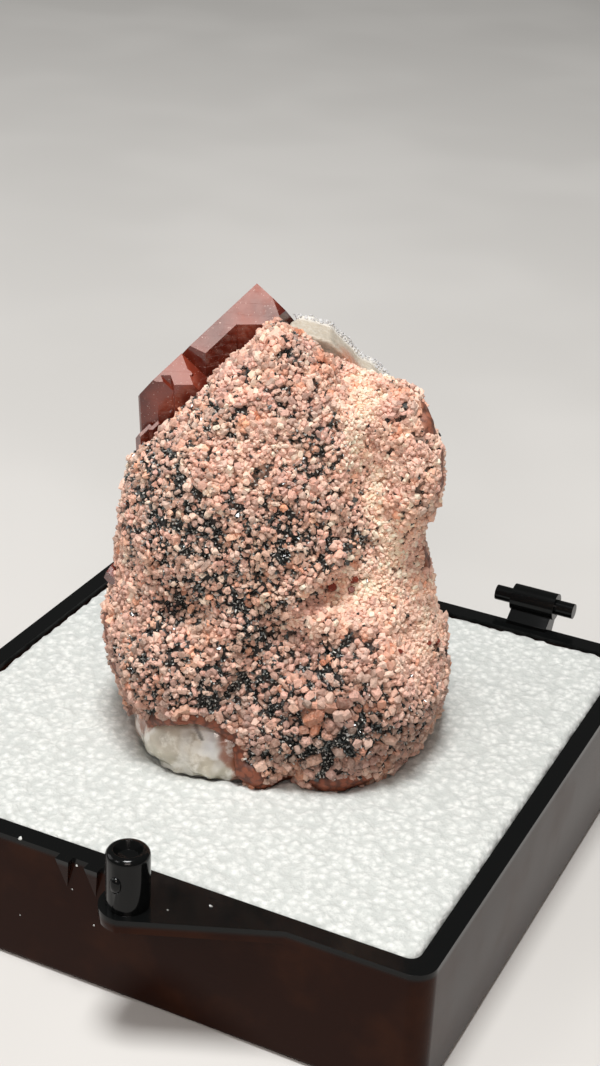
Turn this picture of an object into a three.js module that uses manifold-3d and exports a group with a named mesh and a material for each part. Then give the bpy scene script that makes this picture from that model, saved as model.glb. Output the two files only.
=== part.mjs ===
// A hand specimen of red hematoid quartz under a granular crust, standing on white foam in the
// black base of a small hinged display box. Millimetres, +Z up. The origin is the middle of the
// box's flat underside, and the latch side of the box faces -Y.

import * as THREE from 'three';
import { mergeVertices } from 'three/addons/utils/BufferGeometryUtils.js';
import Module from 'manifold-3d';

const wasm = await Module();
wasm.setup();

// Driving dimensions of the box base and its foam
const BOX_SIDE = 57;
const BOX_HEIGHT = 13;
const BOX_CORNER = 1.3;
const BOX_UNDERSIDE_BEVEL = 0.6;
const WALL = 1.75;
const FLOOR = 1.5;
const GAP = 0.3;
const INNER_CORNER = 1;
const FOAM_TOP = 12.9;
const FOAM_CORNER = 0.9;
const FOAM_EDGE_ROUNDING = 0.35;

// The latch shelf is a wedge beside the front wall, and the latch post stands on its wide end
const SHELF_THICKNESS = 1.25;
const SHELF_TIP_X = 16.1;
const SHELF_END_X = 3.3;
const SHELF_END_RADIUS = 2.45;
const SHELF_END_EASE = 0.35;
const POST_REACH = 2.9;
const POST_RADIUS = 1.85;
const POST_HEIGHT = 5.3;
const POST_EDGE = 0.55;
const POST_EDGE_STEPS = 4;
const POST_DISH_RADIUS = 1.2;
const POST_DISH_FLOOR = 0.9;
const POST_DISH_DEPTH = 0.9;
// A lump on the post's side where the plastic was let into the mould
const SCAR_RADIUS = 0.55;
const SCAR_STRETCH = [1, 0.7, 1.5];
const SCAR_TURN = -0.51 * Math.PI;
const SCAR_RISE = 0.55 * POST_HEIGHT;
const RIB_XS = [-4.4, -1.6];
const RIB_WIDTH = 1.3;
const RIB_REACH = 0.8;
const RIB_LENGTH = 3.3;

// The hinge barrels stand on lugs at the back rim
const HINGE_XS = [-15.8, 15.8];
const HINGE_RADIUS = 1.4;
const HINGE_LENGTH = 4.7;
const HINGE_RISE = 2.0;
const HINGE_SETBACK = 1.5;
const HINGE_PIN_RADIUS = 0.8;
const HINGE_PIN_REACH = 1.9;
const LUG_LENGTH = 4.3;
const LUG_DROP = 2.6;
const LUG_LIFT = 0.4;
const LUG_FOOT = 0.2;

// The specimen has its own axes: x to the right, y to the back and z up from the foam's top. Its
// foot is pressed a little way into the foam.
const SPECIMEN_TURN = THREE.MathUtils.degToRad(25.1);
const PRESSED_IN = 0.8;

// The quartz crystals grew parallel to one another. Their axes are x to the front, y to the right
// and z along the crystals, from the tip of the highest one.
const MAIN_TIP = new THREE.Vector3(-2.47, 3.5, 41.5);
const CRYSTAL_TILT = THREE.MathUtils.degToRad(7);
const CRYSTAL_LEAN = THREE.MathUtils.degToRad(-2);
const CRYSTAL_TURN = THREE.MathUtils.degToRad(2);
const RHOMB_RISE = THREE.MathUtils.degToRad(38.2);
const CRYSTAL_LENGTH = 60;
const CRYSTAL_FOOT_Z = -0.5;

// At the back the crystals end in one broken face, which leans to the front as it goes down
const BREAK_TURN = THREE.MathUtils.degToRad(21);
const BREAK_REACH = 9.7;

// The ridge that runs from the highest tip down to the left, between the two largest tip faces
const RIDGE = new THREE.Vector3(0.422, -0.731, -0.536);
const onRidge = (distance) => RIDGE.clone().multiplyScalar(distance);

// How far each prism face stands from its crystal's own axis, by the direction that it faces in
// degrees (0 is the front, 90 the right), and how far the small tip faces stand from the tip
const crystals = [
  {
    name: 'main tip',
    tip: onRidge(0),
    prism: { 0: 2.23, 60: 2.55, 120: 3.4, 180: 4.4, 240: 3.0, 300: 2.6 },
    small: { 60: 0.61 },
  },
  {
    name: 'main shoulder',
    tip: onRidge(2),
    prism: { 30: 1.03, 343: 3.69, 60: 0.8, 120: 2.6, 180: 4.9, 240: 5.0, 300: 6.6 },
    small: {},
  },
  {
    name: 'second tip',
    tip: onRidge(8.95),
    prism: { 0: 1.7, 60: 2.14, 120: 3.4, 180: 6.6, 240: 2.6, 300: 1.42 },
    small: { 60: 0 },
  },
  {
    name: 'second shoulder',
    tip: onRidge(9.6),
    prism: { 0: 0.9, 60: 1.6, 120: 2.2, 180: 6.4, 240: 3.0, 300: 2.25 },
    small: {},
  },
  {
    name: 'third tip',
    tip: onRidge(11.5),
    prism: { 0: 0.45, 343: 0.52, 60: 1.2, 120: 2.0, 180: 7.4, 240: 1.9, 300: 1.59 },
    small: { 60: 0 },
  },
  {
    name: 'left foot',
    tip: new THREE.Vector3(5.3, -9.5, -10.96),
    prism: { 0: 1.2, 30: 0.2, 343: 1.1, 60: 1.6, 120: 2.4, 180: 7.4, 240: 1.2, 300: 1.05 },
    small: {},
  },
  {
    name: 'inner foot',
    tip: new THREE.Vector3(5.42, -8.74, -10.55),
    prism: { 0: 0.5, 30: 0.2, 60: 0.35, 120: 1.6, 180: 6.4, 240: 1.6, 300: 0.9 },
    small: { 60: 0 },
  },
  {
    name: 'back left',
    tip: new THREE.Vector3(-3.8, -5.4, -9.5),
    prism: { 0: 4.0, 60: 3.4, 120: 3.1, 180: 2.8, 240: 3.0, 300: 4.0 },
    small: { 180: 0.5, 300: 0.9 },
  },
  {
    name: 'back middle',
    tip: new THREE.Vector3(-3.4, 1.2, -13.5),
    prism: { 0: 4.0, 60: 4.2, 120: 3.9, 180: 3.9, 240: 3.2, 300: 3.4 },
    small: { 60: 0.8, 180: 1.1 },
  },
  {
    name: 'back right',
    tip: new THREE.Vector3(-1.6, 7.6, -17.5),
    prism: { 0: 3.4, 60: 3.2, 120: 3.6, 180: 4.2, 240: 3.0, 300: 3.4 },
    small: { 180: 0.6, 60: 0.7 },
  },
  {
    name: 'right edge',
    tip: new THREE.Vector3(1.2, 12.3, -9.2),
    prism: { 0: 2.2, 60: 2.1, 120: 2.6, 180: 3.6, 240: 2.8, 300: 3.0 },
    small: { 60: 0.5, 180: 0.8 },
  },
  {
    name: 'right foot',
    tip: new THREE.Vector3(0.6, 13.0, -24.5),
    prism: { 0: 1.8, 60: 2.6, 120: 2.9, 180: 4.4, 240: 3.2, 300: 3.0 },
    small: { 60: 0.4, 300: 0.6 },
  },
];

// A small tip that stands out of the crust on the left side
const SIDE_TIP = new THREE.Vector3(-15.1, -2.2, 15.5);
const SIDE_TIP_FOOT = new THREE.Vector3(-9.8, 2.6, 11.6);
const SIDE_TIP_PRISM = 0.95;

// The crust is a stack of sections: height, then how far each reaches to the left, to the right,
// to the front and to the back of the specimen's axis
const crustSections = [
  { z: -2.2, left: 12.0, right: 14.9, front: 11.9, back: 7.0 },
  { z: 0.6, left: 12.6, right: 15.5, front: 12.6, back: 8.2 },
  { z: 3.0, left: 13.4, right: 16.0, front: 12.7, back: 9.2 },
  { z: 6.0, left: 14.5, right: 16.5, front: 12.5, back: 9.6 },
  { z: 9.0, left: 15.5, right: 16.3, front: 11.7, back: 8.6 },
  { z: 11.0, left: 15.6, right: 15.8, front: 11.0, back: 7.2 },
  { z: 13.0, left: 15.0, right: 15.1, front: 10.2, back: 6.0 },
  { z: 15.5, left: 14.6, right: 14.7, front: 9.5, back: 5.2 },
  { z: 18.0, left: 14.6, right: 14.2, front: 8.9, back: 4.8 },
  { z: 21.0, left: 14.2, right: 13.8, front: 8.4, back: 4.6 },
  { z: 24.0, left: 13.7, right: 14.5, front: 7.8, back: 4.4 },
  { z: 26.5, left: 12.9, right: 14.6, front: 7.3, back: 4.2 },
  { z: 28.4, left: 11.5, right: 14.2, front: 6.9, back: 3.8 },
  { z: 30.5, left: 9.6, right: 13.1, front: 6.5, back: 3.4 },
  { z: 32.5, left: 7.8, right: 11.9, front: 6.1, back: 3.0 },
  { z: 34.0, left: 6.3, right: 10.6, front: 5.6, back: 2.6 },
  { z: 35.0, left: 5.2, right: 8.6, front: 5.2, back: 2.3 },
  { z: 35.8, left: 4.5, right: 5.4, front: 4.9, back: 1.9 },
  { z: 37.0, left: 3.5, right: 3.7, front: 4.4, back: 1.5 },
  { z: 38.3, left: 2.5, right: 2.7, front: 3.8, back: 1.2 },
  { z: 39.2, left: 2.0, right: 1.0, front: 3.4, back: 1.0 },
  { z: 40.0, left: 1.7, right: 0.4, front: 3.0, back: 0.8 },
];
const CRUST_ROUND = 80;
const CRUST_LEVELS = 38;
// 2 is an ellipse, and more makes each section squarer
const CRUST_SQUARENESS = 2.3;
// The more, the later a body draws in towards its end
const CRUST_TOP_ROUNDING = 14;
const CRUST_FOOT_ROUNDING = 24;
// Width and height of the knobs all over the crust
const CRUST_GRAIN = 1.6;
const CRUST_GRAIN_HEIGHT = 0.4;

// Lumps, ledges, pits and grooves of the crust: where each is, how wide it is and how far it
// stands out of the sections, or reaches into them
const crustRelief = [
  { name: 'main dome', at: [-3.5, -7.5, 24.5], size: [8.0, 5, 9.0], height: 1.5 },
  { name: 'lower right lobe', at: [8.2, -10.5, 8.5], size: [5.6, 5, 6.0], height: 2.2 },
  { name: 'lower left apron', at: [-8.8, -9.5, 9.5], size: [4.6, 4, 4.6], height: 1.5 },
  { name: 'ledge pit', at: [-7.4, -9.0, 15.6], size: [2.4, 3, 1.3], height: -1.5 },
  { name: 'side hollow', at: [-13.5, -3.0, 19.5], size: [2.0, 4, 3.4], height: -0.6 },
  { name: 'right trough', at: [8.6, -6.4, 26.5], size: [1.9, 4, 5.6], height: -1.9 },
  { name: 'right ridge', at: [12.3, -4.2, 28.5], size: [1.8, 4, 5.4], height: 1.0 },
  { name: 'pale slope', at: [10.6, -7.6, 18.3], size: [4.0, 4, 2.6], height: -1.0 },
  { name: 'black pit', at: [6.2, -7.6, 22.6], size: [0.9, 3, 1.2], height: -1.1 },
  { name: 'groove, upper', at: [5.6, -8.6, 17.4], size: [2.2, 3, 1.7], height: -1.0 },
  { name: 'groove, middle', at: [2.6, -10.0, 12.6], size: [1.7, 3, 1.9], height: -1.4 },
  { name: 'groove, lower', at: [-0.6, -11.2, 8.2], size: [1.5, 3, 2.0], height: -1.5 },
  { name: 'groove, foot', at: [-2.8, -11.8, 4.4], size: [1.2, 3, 1.6], height: -1.1 },
  { name: 'top knob', at: [-1.2, -3.0, 39.0], size: [1.4, 2, 1.4], height: 0.4 },
  { name: 'under the slab', at: [6.8, -4.2, 35.0], size: [3.2, 3, 2.0], height: -1.1 },
  { name: 'shoulder knob', at: [10.8, -3.0, 33.6], size: [1.6, 3, 1.4], height: 0.5 },
  { name: 'right waist', at: [14.4, -2.0, 20.4], size: [1.6, 4, 2.0], height: -0.7 },
  { name: 'toe, left', at: [-0.8, -12.2, 0.6], size: [1.3, 3, 2.2], height: 0.5 },
  { name: 'toe, right', at: [7.2, -12.0, 0.6], size: [3.4, 3, 2.0], height: 0.9 },
  { name: 'gap between toes', at: [2.1, -12.4, 0.2], size: [1.0, 3, 1.2], height: -1.5 },
];

// The window in the crust, through which the milky quartz shows at the lower left
const WINDOW = {
  x: -7.3,
  y: -12,
  z: 0.6,
  halfWidth: 4.4,
  halfHeight: 5.6,
  depth: 7,
  lean: THREE.MathUtils.degToRad(30),
};

// The milky quartz is a broken foot under the crust and the crystals
const milkySections = [
  { z: -1.8, left: 7.5, right: 11.0, front: 11.1, back: 4.4 },
  { z: 0.8, left: 8.3, right: 12.4, front: 11.7, back: 5.0 },
  { z: 2.6, left: 8.2, right: 12.2, front: 11.6, back: 5.2 },
  { z: 4.4, left: 8.0, right: 11.0, front: 11.2, back: 5.0 },
  { z: 6.2, left: 5.8, right: 8.6, front: 9.8, back: 4.4 },
];
// Its axis stands to the left of the crust's
const MILKY_MIDDLE = -4.6;
const MILKY_SQUARENESS = 2.4;
const MILKY_ROUNDING = 6;
const MILKY_ROUND = 40;
const MILKY_LEVELS = 10;
// Its chips are this wide, and change its reach by this share
const MILKY_CHIP = new THREE.Vector3(3.1, 3.1, 2.3);
const MILKY_CHIP_SHARE = 0.05;

// The pale slab stands behind the crust at the upper right
const slabOutline = [
  [-0.6, 22.0],
  [-0.4, 36.4],
  [0.6, 37.8],
  [2.4, 37.6],
  [4.2, 37.1],
  [5.4, 35.9],
  [6.7, 34.5],
  [8.0, 33.8],
  [9.3, 32.6],
  [10.4, 30.0],
  [10.6, 25.5],
  [8.6, 22.4],
];
const SLAB_FRONT = 1.8;
const SLAB_BACK = 5.6;
const SLAB_LEAN = THREE.MathUtils.degToRad(6);

// Joins, cuts and placing

function toSolid(geometry) {
  const bare = geometry.clone();
  bare.deleteAttribute('normal');
  bare.deleteAttribute('uv');
  const merged = mergeVertices(bare, 1e-4);
  return new wasm.Manifold(
    new wasm.Mesh({
      numProp: 3,
      vertProperties: new Float32Array(merged.attributes.position.array),
      triVerts: new Uint32Array(merged.index.array),
    }),
  );
}

function toGeometry(solid) {
  const mesh = solid.getMesh();
  const geometry = new THREE.BufferGeometry();
  geometry.setAttribute('position', new THREE.BufferAttribute(mesh.vertProperties, 3));
  geometry.setIndex(new THREE.BufferAttribute(mesh.triVerts, 1));
  const faceted = geometry.toNonIndexed();
  faceted.computeVertexNormals();
  return faceted;
}

function joined(solids) {
  return solids.reduce((whole, solid) => whole.add(solid));
}

// Even noise between -1 and 1, smooth over about one unit

function latticeValue(x, y, z) {
  const mixed = Math.sin(x * 127.1 + y * 311.7 + z * 74.7) * 43758.5453;
  return 2 * (mixed - Math.floor(mixed)) - 1;
}

function noise(x, y, z) {
  const base = [Math.floor(x), Math.floor(y), Math.floor(z)];
  const ease = [x - base[0], y - base[1], z - base[2]].map((t) => t * t * (3 - 2 * t));
  let sum = 0;
  for (const [i, j, k] of [0, 1, 2, 3, 4, 5, 6, 7].map((n) => [n & 1, (n >> 1) & 1, n >> 2])) {
    const weight =
      (i ? ease[0] : 1 - ease[0]) * (j ? ease[1] : 1 - ease[1]) * (k ? ease[2] : 1 - ease[2]);
    sum += weight * latticeValue(base[0] + i, base[1] + j, base[2] + k);
  }
  return sum;
}

// Rounded square outlines for the box and the foam

function roundedSquare(side, radius) {
  const half = side / 2;
  const shape = new THREE.Shape();
  shape.moveTo(-half + radius, -half);
  shape.lineTo(half - radius, -half);
  shape.absarc(half - radius, -half + radius, radius, -Math.PI / 2, 0);
  shape.lineTo(half, half - radius);
  shape.absarc(half - radius, half - radius, radius, 0, Math.PI / 2);
  shape.lineTo(-half + radius, half);
  shape.absarc(-half + radius, half - radius, radius, Math.PI / 2, Math.PI);
  shape.lineTo(-half, -half + radius);
  shape.absarc(-half + radius, -half + radius, radius, Math.PI, 1.5 * Math.PI);
  return shape;
}

function squareBlock(side, radius, bottom, top, bevel = 0) {
  const geometry = new THREE.ExtrudeGeometry(roundedSquare(side - 2 * bevel, radius), {
    depth: top - bottom - 2 * bevel,
    bevelEnabled: bevel > 0,
    bevelThickness: bevel,
    bevelSize: bevel,
    bevelSegments: 2,
    curveSegments: 5,
  });
  return toSolid(geometry.translate(0, 0, bottom + bevel));
}

// The box base

const frontWallY = -BOX_SIDE / 2;
const backWallY = BOX_SIDE / 2;

function boxTray() {
  const bevel = BOX_UNDERSIDE_BEVEL;
  const outside = squareBlock(BOX_SIDE, BOX_CORNER, 0, BOX_HEIGHT + bevel, bevel);
  const above = toSolid(
    new THREE.BoxGeometry(2 * BOX_SIDE, 2 * BOX_SIDE, BOX_HEIGHT).translate(0, 0, 1.5 * BOX_HEIGHT),
  );
  const inside = squareBlock(BOX_SIDE - 2 * WALL, INNER_CORNER, FLOOR, 2 * BOX_HEIGHT);
  return outside.subtract(above).subtract(inside);
}

function latchShelf() {
  const inset = frontWallY + WALL / 2;
  const centreY = frontWallY - POST_REACH;
  const shape = new THREE.Shape();
  shape.moveTo(SHELF_TIP_X, inset);
  shape.lineTo(SHELF_TIP_X, frontWallY);
  shape.lineTo(SHELF_END_X + SHELF_END_EASE, centreY - SHELF_END_RADIUS);
  shape.absarc(SHELF_END_X, centreY, SHELF_END_RADIUS, -Math.PI / 2, -Math.PI, true);
  shape.lineTo(SHELF_END_X - SHELF_END_RADIUS, inset);
  const shelf = new THREE.ExtrudeGeometry(shape, {
    depth: SHELF_THICKNESS,
    bevelEnabled: false,
    curveSegments: 8,
  });
  return toSolid(shelf.translate(0, 0, BOX_HEIGHT - SHELF_THICKNESS));
}

function latchPost() {
  const sunk = SHELF_THICKNESS / 2;
  const profile = [new THREE.Vector2(0, -sunk), new THREE.Vector2(POST_RADIUS, -sunk)];
  for (let step = 0; step <= POST_EDGE_STEPS; step += 1) {
    const turn = (step / POST_EDGE_STEPS) * (Math.PI / 2);
    profile.push(
      new THREE.Vector2(
        POST_RADIUS - POST_EDGE + POST_EDGE * Math.cos(turn),
        POST_HEIGHT - POST_EDGE + POST_EDGE * Math.sin(turn),
      ),
    );
  }
  profile.push(new THREE.Vector2(POST_DISH_RADIUS, POST_HEIGHT));
  // The dish is deepest in its middle
  profile.push(new THREE.Vector2(POST_DISH_FLOOR, POST_HEIGHT - 0.8 * POST_DISH_DEPTH));
  profile.push(new THREE.Vector2(0, POST_HEIGHT - POST_DISH_DEPTH));
  const post = toSolid(new THREE.LatheGeometry(profile, 28).rotateX(Math.PI / 2));
  const scar = new THREE.IcosahedronGeometry(SCAR_RADIUS, 1)
    .scale(...SCAR_STRETCH)
    .rotateZ(SCAR_TURN + Math.PI / 2)
    .translate(POST_RADIUS * Math.cos(SCAR_TURN), POST_RADIUS * Math.sin(SCAR_TURN), SCAR_RISE);
  return post.add(toSolid(scar)).translate([SHELF_END_X, frontWallY - POST_REACH, BOX_HEIGHT]);
}

// A rib left of the post that tapers to nothing down the wall
function snapRib(x) {
  const rib = new THREE.ConeGeometry(RIB_WIDTH / Math.SQRT2, RIB_LENGTH, 4, 1)
    .rotateY(Math.PI / 4)
    .rotateX(-Math.PI / 2)
    .scale(1, (2 * RIB_REACH) / RIB_WIDTH, 1)
    .translate(x, frontWallY, BOX_HEIGHT - RIB_LENGTH / 2);
  return toSolid(rib);
}

function hingeBarrel(x) {
  const axisY = backWallY + HINGE_SETBACK;
  const axisZ = BOX_HEIGHT + HINGE_RISE;
  const barrel = new THREE.CylinderGeometry(HINGE_RADIUS, HINGE_RADIUS, HINGE_LENGTH, 24)
    .rotateZ(Math.PI / 2)
    .translate(x, axisY, axisZ);
  const pinLength = HINGE_LENGTH + 2 * HINGE_PIN_REACH;
  const pin = new THREE.CylinderGeometry(HINGE_PIN_RADIUS, HINGE_PIN_RADIUS, pinLength, 16)
    .rotateZ(Math.PI / 2)
    .translate(x, axisY, axisZ);
  // The lug's side rises from the wall and meets the barrel 30 degrees below its outermost line
  const side = new THREE.Shape([
    new THREE.Vector2(backWallY - WALL / 2, BOX_HEIGHT - LUG_DROP),
    new THREE.Vector2(backWallY + LUG_FOOT, BOX_HEIGHT - LUG_DROP),
    new THREE.Vector2(
      axisY + HINGE_RADIUS * Math.cos(Math.PI / 6),
      axisZ - HINGE_RADIUS * Math.sin(Math.PI / 6),
    ),
    new THREE.Vector2(axisY, axisZ),
    new THREE.Vector2(backWallY - WALL / 2, BOX_HEIGHT + LUG_LIFT),
  ]);
  const lug = new THREE.ExtrudeGeometry(side, { depth: LUG_LENGTH, bevelEnabled: false })
    .rotateX(Math.PI / 2)
    .rotateZ(Math.PI / 2)
    .translate(x - LUG_LENGTH / 2, 0, 0);
  return toSolid(barrel).add(toSolid(pin)).add(toSolid(lug));
}

function boxBase() {
  const ribs = RIB_XS.map(snapRib);
  const hinges = HINGE_XS.map(hingeBarrel);
  return joined([boxTray(), latchShelf(), latchPost(), ...ribs, ...hinges]);
}

// The quartz crystals

function crystalFrame() {
  const up = new THREE.Vector3(Math.sin(CRYSTAL_LEAN), -Math.sin(CRYSTAL_TILT), 0);
  up.z = Math.sqrt(1 - up.lengthSq());
  const front = new THREE.Vector3(Math.sin(CRYSTAL_TURN), -Math.cos(CRYSTAL_TURN), 0);
  front.addScaledVector(up, -front.dot(up)).normalize();
  const right = new THREE.Vector3().crossVectors(up, front);
  return new THREE.Matrix4().makeBasis(front, right, up).setPosition(MAIN_TIP);
}

function facing(degrees, rise = 0) {
  const turn = THREE.MathUtils.degToRad(degrees);
  return new THREE.Vector3(
    Math.cos(turn) * Math.cos(rise),
    Math.sin(turn) * Math.cos(rise),
    Math.sin(rise),
  );
}

// Everything on the inner side of a plane, as a block whose one face lies on the plane
function halfSpace(normal, distance) {
  const size = 4 * CRYSTAL_LENGTH;
  const turn = new THREE.Quaternion().setFromUnitVectors(new THREE.Vector3(0, 0, 1), normal);
  const block = new THREE.BoxGeometry(size, size, size)
    .translate(0, 0, distance - size / 2)
    .applyQuaternion(turn);
  return toSolid(block);
}

// One quartz crystal: six prism faces, three large tip faces that meet in its tip, and the small
// tip faces between them where they show
function quartz({ tip, prism, small }, grow) {
  const faces = [{ normal: new THREE.Vector3(0, 0, -1), out: CRYSTAL_LENGTH }];
  for (const degrees of [0, 120, 240]) {
    faces.push({ normal: facing(degrees, RHOMB_RISE), out: 0 });
  }
  for (const [degrees, out] of Object.entries(small)) {
    faces.push({ normal: facing(Number(degrees), RHOMB_RISE), out });
  }
  for (const [degrees, out] of Object.entries(prism)) {
    faces.push({ normal: facing(Number(degrees)), out });
  }
  return faces
    .map(({ normal, out }) => halfSpace(normal, normal.dot(tip) + out + grow))
    .reduce((solid, half) => solid.intersect(half));
}

function sideTip(grow) {
  const prism = Object.fromEntries([0, 60, 120, 180, 240, 300].map((turn) => [turn, SIDE_TIP_PRISM]));
  const along = SIDE_TIP.clone().sub(SIDE_TIP_FOOT);
  const upright = quartz({ tip: new THREE.Vector3(), prism, small: {} }, grow);
  const foot = halfSpace(new THREE.Vector3(0, 0, -1), along.length());
  const turn = new THREE.Quaternion().setFromUnitVectors(new THREE.Vector3(0, 0, 1), along.normalize());
  const placed = toGeometry(upright.intersect(foot)).applyQuaternion(turn);
  return toSolid(placed.translate(...SIDE_TIP.toArray()));
}

function quartzCrystals(grow = 0) {
  const grown = joined(crystals.map((crystal) => quartz(crystal, grow)));
  const cluster = toSolid(toGeometry(grown).applyMatrix4(crystalFrame()));
  const backBreak = new THREE.Vector3(0, Math.cos(BREAK_TURN), -Math.sin(BREAK_TURN));
  return cluster
    .intersect(halfSpace(new THREE.Vector3(0, 0, -1), -CRYSTAL_FOOT_Z + grow))
    .intersect(halfSpace(backBreak, BREAK_REACH + grow));
}

// Lumpy bodies, as stacks of sections

// A smooth curve through the sections' reaches, read at one height
function reachAt(sections, z, side) {
  const last = sections.length - 1;
  const above = THREE.MathUtils.clamp(sections.findIndex((section) => section.z >= z), 1, last);
  const n = z > sections[last].z ? last : above;
  const slope = (i) => {
    const [a, b] = [sections[Math.max(i - 1, 0)], sections[Math.min(i + 1, last)]];
    return (b[side] - a[side]) / (b.z - a.z);
  };
  const [low, high] = [sections[n - 1], sections[n]];
  const step = high.z - low.z;
  const t = THREE.MathUtils.clamp((z - low.z) / step, 0, 1);
  const [t2, t3] = [t * t, t * t * t];
  return (
    (2 * t3 - 3 * t2 + 1) * low[side] +
    (t3 - 2 * t2 + t) * step * slope(n - 1) +
    (3 * t2 - 2 * t3) * high[side] +
    (t3 - t2) * step * slope(n)
  );
}

// A sphere whose rings are laid on the sections: each ring keeps its angle round the axis and
// reaches as far as the section does there
function stackedBody({ sections, round, levels, squareness, topRounding, footRounding, grow }) {
  const [low, high] = [sections[0].z - grow, sections.at(-1).z + grow];
  const body = new THREE.SphereGeometry(1, round, levels).rotateX(Math.PI / 2);
  const place = body.attributes.position;
  for (let i = 0; i < place.count; i += 1) {
    const [x, y, s] = [place.getX(i), place.getY(i), place.getZ(i)];
    const share = Math.asin(THREE.MathUtils.clamp(s, -1, 1)) / Math.PI + 0.5;
    const z = THREE.MathUtils.lerp(low, high, share);
    const fill = Math.sqrt(1 - Math.abs(2 * share - 1) ** (share > 0.5 ? topRounding : footRounding));
    const length = Math.hypot(x, y) || 1;
    const [cos, sin] = [x / length, y / length];
    const across = reachAt(sections, z, cos < 0 ? 'left' : 'right') + grow;
    const deep = reachAt(sections, z, sin < 0 ? 'front' : 'back') + grow;
    const turned = Math.abs(cos / across) ** squareness + Math.abs(sin / deep) ** squareness;
    const reach = fill / turned ** (1 / squareness);
    place.setXYZ(i, reach * cos, reach * sin, z);
  }
  return body;
}

function reliefAt(point) {
  return crustRelief.reduce((sum, { at, size, height }) => {
    const away = point.clone().sub(new THREE.Vector3(...at)).divide(new THREE.Vector3(...size));
    return sum + height * Math.exp(-away.lengthSq());
  }, 0);
}

function crustBody(grow = 0) {
  const body = stackedBody({
    sections: crustSections,
    round: CRUST_ROUND,
    levels: CRUST_LEVELS,
    squareness: CRUST_SQUARENESS,
    topRounding: CRUST_TOP_ROUNDING,
    footRounding: CRUST_FOOT_ROUNDING,
    grow,
  });
  const smooth = mergeVertices(body.deleteAttribute('uv').deleteAttribute('normal'), 1e-4);
  smooth.computeVertexNormals();
  const place = smooth.attributes.position;
  const normal = smooth.attributes.normal;
  for (let i = 0; i < place.count; i += 1) {
    const point = new THREE.Vector3().fromBufferAttribute(place, i);
    const out = new THREE.Vector3().fromBufferAttribute(normal, i);
    const knobs = noise(...point.clone().divideScalar(CRUST_GRAIN).toArray());
    const shift = reliefAt(point) + CRUST_GRAIN_HEIGHT * knobs;
    point.addScaledVector(out, shift);
    place.setXYZ(i, point.x, point.y, Math.max(point.z, -PRESSED_IN - grow));
  }
  return toSolid(smooth);
}

function crustWindow() {
  const opening = new THREE.CylinderGeometry(1, 1, WINDOW.depth, 28)
    .scale(WINDOW.halfWidth, 1, WINDOW.halfHeight)
    .rotateY(WINDOW.lean)
    .translate(WINDOW.x, WINDOW.y, WINDOW.z);
  return toSolid(opening);
}

function milkyBody(grow = 0) {
  const body = stackedBody({
    sections: milkySections,
    round: MILKY_ROUND,
    levels: MILKY_LEVELS,
    squareness: MILKY_SQUARENESS,
    topRounding: MILKY_ROUNDING,
    footRounding: MILKY_ROUNDING,
    grow,
  });
  const place = body.attributes.position;
  for (let i = 0; i < place.count; i += 1) {
    const point = new THREE.Vector3().fromBufferAttribute(place, i);
    const chip = 1 + MILKY_CHIP_SHARE * noise(...point.clone().divide(MILKY_CHIP).toArray());
    place.setXYZ(i, point.x * chip + MILKY_MIDDLE, point.y * chip, Math.max(point.z, -PRESSED_IN - grow));
  }
  return toSolid(body);
}

function slabBody(grow = 0) {
  const outline = slabOutline.map(([x, z]) => new THREE.Vector2(x, z));
  const middle = new THREE.Vector2();
  outline.forEach((point) => middle.addScaledVector(point, 1 / outline.length));
  const grown = outline.map((point) => {
    const outward = point.clone().sub(middle).normalize();
    return point.clone().addScaledVector(outward, grow);
  });
  const slab = new THREE.ExtrudeGeometry(new THREE.Shape(grown), {
    depth: SLAB_BACK - SLAB_FRONT + 2 * grow,
    bevelEnabled: false,
  });
  slab.rotateX(Math.PI / 2).translate(0, SLAB_BACK + grow, 0);
  slab.translate(0, 0, -middle.y).rotateX(SLAB_LEAN).translate(0, 0, middle.y);
  return toSolid(slab);
}

// The specimen's solids, each cut back from the ones that it grew round

const crystalSolid = joined([quartzCrystals(), sideTip(0)]);
const crystalRoom = joined([quartzCrystals(GAP), sideTip(GAP)]);
const milkySolid = milkyBody().subtract(crystalRoom);
const milkyRoom = milkyBody(GAP);
const slabSolid = slabBody().subtract(crystalRoom);
const slabRoom = slabBody(GAP);
const crustRoom = [crystalRoom, slabRoom, milkyRoom, crustWindow()];
const crustSolid = crustRoom.reduce((crust, room) => crust.subtract(room), crustBody());

const specimenPlace = new THREE.Matrix4()
  .makeRotationZ(SPECIMEN_TURN)
  .setPosition(0, 0, FOAM_TOP);

function foamPad() {
  const side = BOX_SIDE - 2 * WALL - 2 * GAP;
  const pad = squareBlock(side, FOAM_CORNER, FLOOR + GAP, FOAM_TOP, FOAM_EDGE_ROUNDING);
  const foot = joined([crustBody(GAP), milkyBody(GAP), crystalRoom]);
  return pad.subtract(toSolid(toGeometry(foot).applyMatrix4(specimenPlace)));
}

function named(name, solid, color, roughness) {
  const material = new THREE.MeshStandardMaterial({ color, roughness, metalness: 0, flatShading: true });
  const mesh = new THREE.Mesh(toGeometry(solid), material);
  mesh.name = name;
  return mesh;
}

const specimen = new THREE.Group();
specimen.rotation.z = SPECIMEN_TURN;
specimen.position.z = FOAM_TOP;
specimen.add(
  named('crust', crustSolid, 0xc98f78, 0.85),
  named('quartz_crystals', crystalSolid, 0x6b2318, 0.15),
  named('pale_quartz', slabSolid, 0xc9c4b8, 0.75),
  named('milky_quartz', milkySolid, 0xb9b4a6, 0.35),
);

const part = new THREE.Group();
part.add(
  named('box_base', boxBase(), 0x0d0b0a, 0.25),
  named('foam_pad', foamPad(), 0xe6e8e4, 0.95),
  specimen,
);

export default part;
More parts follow.
